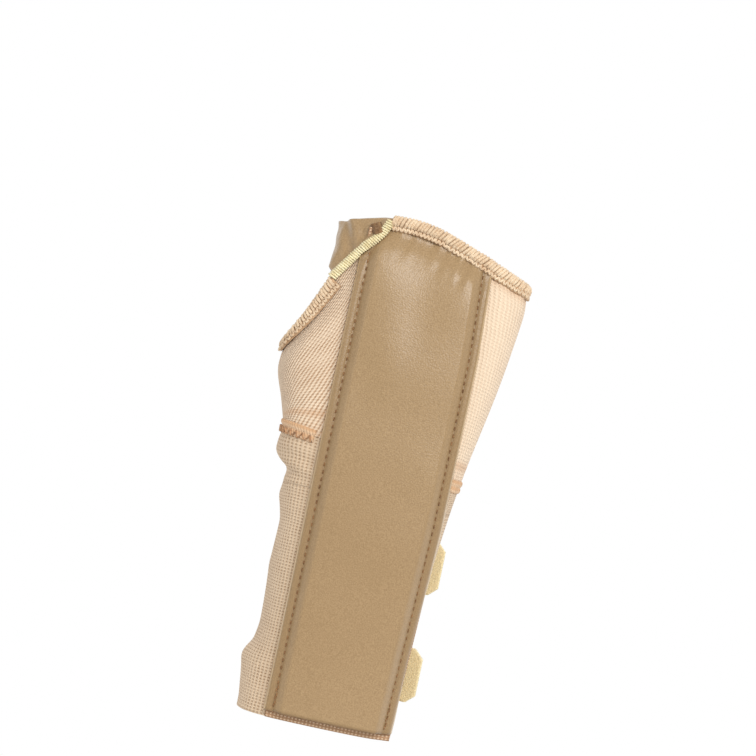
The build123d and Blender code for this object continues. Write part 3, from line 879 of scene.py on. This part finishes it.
def bound(name, line, reach_down, stand, swell=0.0):
    """A bound edge along a line: its core, its loops and its scalloped row."""
    core_drop = np.array([1.0, 0.93, 0.6, 0.25, 0.04, -0.02, 0.04, 0.30, 0.55, 0.60]) * reach_down
    core_lift = np.array([0.05, 0.70, 0.95, 0.95, 0.55, -0.5, -1.6, -2.0, -1.9, -1.5]) * MM
    steps = np.linspace(0, 1, 10)

    def core_place(s, t):
        lift = np.interp(t, steps, core_lift)
        angle, height = line.spot(s * line.length, np.interp(t, steps, core_drop))
        return on_arm(angle, height, lift + swell + stand(angle, height))

    def row(row_name, pitch, along, drop, lift, thickness, wander):
        """Like loops of yarn along the edge, each a little off its place."""
        paths = []
        for k in range(int(line.length / pitch)):
            spots = (k + 0.5) * pitch + np.array(along) * MM + 0.00010 * wander * math.sin(k * 1.7)
            lifts = np.array(lift) * MM + 0.00012 * wander * math.sin(k * 2.9)
            angle, height = line.spot(spots, np.array(drop) * reach_down)
            paths.append(on_arm(angle, height, lifts + swell + stand(angle, height) * (lifts > 0.0003)))
        return yarn(row_name, paths, thickness)

    core = laid(name + "_core", int(line.length / 0.0008), 27, core_place, (line.length, 0.009), 0.0005)
    core.data.materials.append(binding_core)
    loops = row(
        name + "_loops", 0.00118,
        [-0.75, -0.6, -0.25, 0.2, 0.5, 0.6, 0.6, 0.5],
        [0.66, 0.58, 0.36, 0.12, -0.05, -0.03, 0.22, 0.45],
        [0.5, 1.0, 1.3, 1.15, 0.5, -0.9, -2.0, -1.6], 0.00124, 1,
    )
    scallops = row(
        name + "_loops_scallops", 0.0015,
        [-0.75, -0.62, -0.3, 0.0, 0.3, 0.62, 0.75],
        [0.60, 0.68, 0.86, 0.93, 0.86, 0.68, 0.60],
        [0.5, 0.95, 0.95, 0.9, 0.95, 0.95, 0.5], 0.00085, 0,
    )
    for piece in (loops, scallops):
        piece.data.materials.append(binding_yarn)
    for piece in (core, loops, scallops):
        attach(piece, "root")
    return [core, loops, scallops]


corner_palm, corner_back = (float(angle_at(-0.0120, 0.1735, dorsal)) for dorsal in (False, True))
finger_angles = np.linspace(corner_palm, corner_back + 360, 300)
finger_line = Line(finger_angles, height_on(finger_edge, finger_angles, 0.0007, 0.168))
finger_bound = bound("finger_binding", finger_line, FINGER_WRAP, on_panel)
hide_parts("finger_binding")

# ---- Thumb binding: the same overlocked yarn round the thumb's opening.
# It runs from the bridge's foot on the palm side, round the thumb's side, to its foot at the back.
BRIDGE_FOOT = 0.1495
THUMB_WRAP = 0.0043
THUMB_SWELL = 0.0004

foot_x = thumb_x(BRIDGE_FOOT + 0.001)
foot_back, foot_palm = (float(angle_at(foot_x, BRIDGE_FOOT, dorsal)) for dorsal in (True, False))
thumb_angles = np.linspace(foot_back, foot_palm, 200)
thumb_line = Line(thumb_angles, height_on(thumb_height, thumb_angles, 0.0004, 0.135))
thumb_bound = bound("thumb_binding", thumb_line, THUMB_WRAP, bunching, THUMB_SWELL)
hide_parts("thumb_binding")

# ---- Web bridge: a short band of leatherette over the web between thumb and hand.
# Its lower edge curves up and its middle is tucked in against the web. Both its ends lap over the
# knit and are overcast there with pale thread, and a bar tack holds the end on the palm side.
BRIDGE_RISE = 0.0062
BRIDGE_TUCK = 0.0058
OVERCAST_PITCH = 0.00082


def bridge_end(height):
    """x of the bridge's sewn ends, close along the thumb line."""
    return thumb_x(height) + 0.0006 + 0.0014 * hump(height, 0.1670, 0.008)


def over_corner(angle, height):
    """How much higher the bridge lies where it laps over the panel's corner."""
    angle, height = np.broadcast_arrays(np.mod(angle, 360), height)
    x = bare_point(angle, height)[..., 0]
    lapped = ease((x - thumb_x(height) + 0.0030) / 0.0030) * ease((x - PANEL_RADIAL + 0.0005) / 0.002)
    return 0.0016 * lapped * (angle > 180)


def bridge_place(s, t):
    """From one sewn end to the other, with a fold and a ridge where the palm side bends."""
    height = 0.160 + 0 * s
    for _ in range(12):
        x_end = bridge_end(height)
        first, last = angle_at(x_end, height, True), angle_at(x_end, height)
        angle = first + (last - first) * s
        x = bare_point(angle, height)[..., 0]
        top = np.minimum(finger_edge(x), finger_edge(-0.0145)) - 0.0006
        foot = BRIDGE_FOOT + 0.0003 + BRIDGE_RISE * np.sin(math.pi * s) ** 0.8
        height = 0.5 * height + 0.5 * (foot + (top - foot) * t)
    slanting = bare_point(angle, height)[..., 0] + 0.45 * (height - 0.160)
    folds = 0.0006 * hump(slanting, -0.0205, 0.0032) - 0.0010 * hump(slanting, -0.0240, 0.0035)
    edge = np.minimum(np.minimum(s, 1 - s) * 0.07, np.minimum(t, 1 - t) * 0.026)
    rolled = np.sqrt(1 - (1 - np.clip(edge / 0.0009, 0, 1)) ** 2)
    tuck = BRIDGE_TUCK * np.sin(math.pi * s) ** 1.3 * (1 - 0.6 * t)
    rise = BRIDGE_OUT * (0.25 + 0.75 * rolled) + 0.00012 * np.sin(t * 17 + s * 6) - tuck
    return on_arm(angle, height, rise + folds * ease((angle - 190) / 12) + over_corner(angle, height))


bridge = laid("bridge", 120, 50, bridge_place, (0.066, 0.025), LEATHER)
bridge.data.materials.append(tan_leatherette)
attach(bridge, "root")
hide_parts("web_bridge")

overcast = []
for dorsal in (False, True):
    heights = np.linspace(BRIDGE_FOOT + 0.0006, 0.1735, 60)
    sewn_end = Line(angle_at(bridge_end(heights), heights, dorsal), heights)
    for k in range(int(sewn_end.length / OVERCAST_PITCH)):
        along = (k + 0.5) * OVERCAST_PITCH + np.array([-0.25, -0.2, 0.0, 0.2, 0.25]) * MM
        angle, height = sewn_end.spot(along, np.array([-1.45, -1.3, 0.0, 1.2, 1.4]) * MM)
        lift = np.array([0.8, 1.7, 1.7, 1.3, 0.3]) * MM
        overcast.append(on_arm(angle, height, lift + over_corner(angle, height)))
bridge_overcast = yarn("bridge_overcast_thread", overcast, 0.0008)
bridge_overcast.data.materials.append(thread("overcast_thread", colour(242, 231, 190), colour(214, 196, 148)))
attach(bridge_overcast, "root")
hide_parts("bridge_overcast")

TACK_X, TACK_HEIGHT, TACK_SIZE = -0.0163, 0.1694, 0.0042
TACK_COS, TACK_SIN = 0.86, 0.5
tack_rows = []
for k in range(9):
    shift = (k / 8 - 0.5) * (TACK_SIZE - 0.0006)
    across = np.linspace(-TACK_SIZE / 2, TACK_SIZE / 2, 6)
    height = TACK_HEIGHT + across * TACK_SIN - shift * TACK_COS
    angle = angle_at(TACK_X + across * TACK_COS + shift * TACK_SIN, height)
    lift = np.array([0.9, 1.9, 2.05, 2.05, 1.9, 0.9]) * MM
    tack_rows.append(on_arm(angle, height, lift + over_corner(angle, height)))
bar_tack = yarn("bar_tack_thread", tack_rows, 0.00058)
bar_tack.data.materials.append(thread("tack_thread", colour(152, 118, 80), colour(116, 84, 54)))
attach(bar_tack, "root")
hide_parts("bar_tack")

# ---- Flap bindings: a folded tape over each free edge of the opening at the back.
# Each is a ribbed tape, sewn to its flap with two rows of thread, and moves with it.
TAPE_WIDTH = 0.0045
TAPE_ROWS, STITCHES_IN_ROW = (0.0010, 0.0036), 30


def ribbed_tape():
    r = Recipe("edge_tape")
    ribs = r.node("TexWave", vector=r.cut(), bands_direction="Y", scale=320.0).outputs[1]
    return r.finish(r.blend(ribs, colour(206, 172, 130), colour(232, 206, 168)), 0.8, ribs, 0.0001, 0.5)


edge_tape = ribbed_tape()


def bind_flap(side, edge_x, towards):
    """Tape over a flap's edge; towards is -1 or 1, the way from the edge to its flap in x."""
    width = np.array([1.0, 0.96, 0.5, 0.1, 0.0, 0.1, 0.6, 1.0]) * TAPE_WIDTH
    lift = np.array([0.1, 0.75, 0.85, 0.8, -0.5, -1.8, -2.0, -1.8]) * MM
    steps = np.linspace(0, 1, 8)

    def place(s, t):
        fold = s if towards < 0 else 1 - s
        height = 0.0002 + 0.0784 * t
        x = edge_x + towards * np.interp(fold, steps, width)
        return on_arm(angle_at(x, height, True), height, np.interp(fold, steps, lift))

    tape = laid(side + "_tape", 28, 110, place, (0.011, 0.079), 0.0005)
    tape.data.materials.append(edge_tape)
    rows = []
    for inset in TAPE_ROWS:
        for k in range(STITCHES_IN_ROW):
            height = 0.001 + k * STITCH_PITCH + np.linspace(0, STITCH_LENGTH, 5)
            angle = angle_at(edge_x + towards * inset + 0 * height, height, True)
            rows.append(on_arm(angle, height, np.array([0.5, 1.0, 1.1, 1.0, 0.5]) * MM))
    stitches = yarn(side + "_tape_stitches", rows, 0.0005)
    stitches.data.materials.append(seam_thread)
    for piece in (tape, stitches):
        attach(piece, side + "_side")
    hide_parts(side + "_flap_binding")


bind_flap("radial", -0.0030, -1)
bind_flap("ulnar", 0.0050, 1)

# ---- Strap closures: two webbing straps across the opening, each sewn to the thumb-side flap.
# Each has a leatherette patch under its sewn end, and hooks under its cut-off tip that grip a
# patch of loops on the other flap.
STRAP_AT = {"lower": 0.0206, "upper": 0.0589}
STRAP_WIDTH, PATCH_WIDTH = 0.0190, 0.0214
TIP_CUT = 0.003


def strip(name, node, x_from, x_to, width, centre, wall, tip_cut=0.0):
    """A strip laid on the outer face of one of the frame's nodes, from x_from to x_to."""
    node_tree = tree_of(node)
    corners = [v.co.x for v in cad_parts[node].data.vertices]
    x_low, x_high = min(corners) + 0.0002, max(corners) - 0.0002
    reach_up = width / 2 - 0.0015

    def place(s, t):
        x = x_to + (x_from - x_to) * s
        half = width / 2 - np.clip(tip_cut - (x_to - x), 0, tip_cut)
        height = centre + (t - 0.5) * 2 * half
        y = np.full(len(x), np.nan)
        for i in range(len(x)):
            off = min(max(height[i] - centre, -reach_up), reach_up) * (0.6 if tip_cut else 1)
            start = Vector((min(max(x[i], x_low), x_high), FAR_OUT, centre + off))
            hit = node_tree.ray_cast(start, Vector((0, -1, 0)))
            if hit[0] is not None:
                y[i] = hit[0].y
        y = np.where(np.isnan(y), np.nanmean(y), y)
        return np.stack([x, y, height], -1)

    return laid(name, 60, 26, place, (abs(x_to - x_from), width), wall)


def webbing():
    """Small plain-woven squares."""
    r = Recipe("strap_webbing")
    parts = r.node("SeparateXYZ", vector=r.cut())
    warp, weft = r.wave(parts.outputs[0], 0.0012), r.wave(parts.outputs[1], 0.0012)
    weave = r.raised(r.sum("MULTIPLY", warp, weft))
    cloth = r.blend(weave, colour(206, 180, 140), colour(240, 222, 186))
    return r.finish(cloth, 0.78, weave, 0.0003, 0.8, sheen=0.1)


def curled_tape(name, light, dark, scale, depth):
    """Hook or loop tape: a dense field of small curls."""
    r = Recipe(name)
    curls = r.node("TexVoronoi", vector=r.object_place(), scale=scale).outputs[0]
    return r.finish(r.blend(r.ramp(curls, 0.0, 0.8), light, dark), 0.7, curls, depth, 0.9, sheen=0.2)


strap_webbing = webbing()
hook_tape = curled_tape("hook_tape", colour(236, 220, 178), colour(222, 206, 162), 1300.0, 0.00015)
loop_tape = curled_tape("loop_tape", colour(238, 222, 190), colour(205, 182, 146), 700.0, 0.0006)
for level, centre in STRAP_AT.items():
    closure = level + "_closure"
    made = {}
    for part, node, x_from, x_to, width, wall, tip_cut in (
        ("anchor", "anchor_patch", -0.0225, -0.0088, PATCH_WIDTH, 0.0012, 0),
        ("root", "strap_root", -0.0210, -0.00875, STRAP_WIDTH, 0.0012, 0),
        ("webbing", "strap", -0.0085, 0.0300, STRAP_WIDTH, 0.0012, TIP_CUT),
        ("hooks", "hook_patch", 0.0080, 0.0300, STRAP_WIDTH, 0.0009, TIP_CUT),
        ("loops", "loop_patch", 0.0096, 0.0210, PATCH_WIDTH, 0.0012, 0),
    ):
        node = f"{level}_{node}"
        made[part] = strip(f"{level}_{part}", node, x_from, x_to, width, centre, wall, tip_cut)
        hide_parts(node)
    for part, skin, slot_name, body in (
        ("anchor", tan_leatherette, "leatherette", "radial_side"),
        ("root", strap_webbing, "strap_webbing", "radial_side"),
        ("webbing", strap_webbing, "strap_webbing", closure),
        ("hooks", hook_tape, "hook_tape", closure),
        ("loops", loop_tape, "loop_tape", "ulnar_side"),
    ):
        made[part].data.materials.append(skin)
        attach(made[part], body)
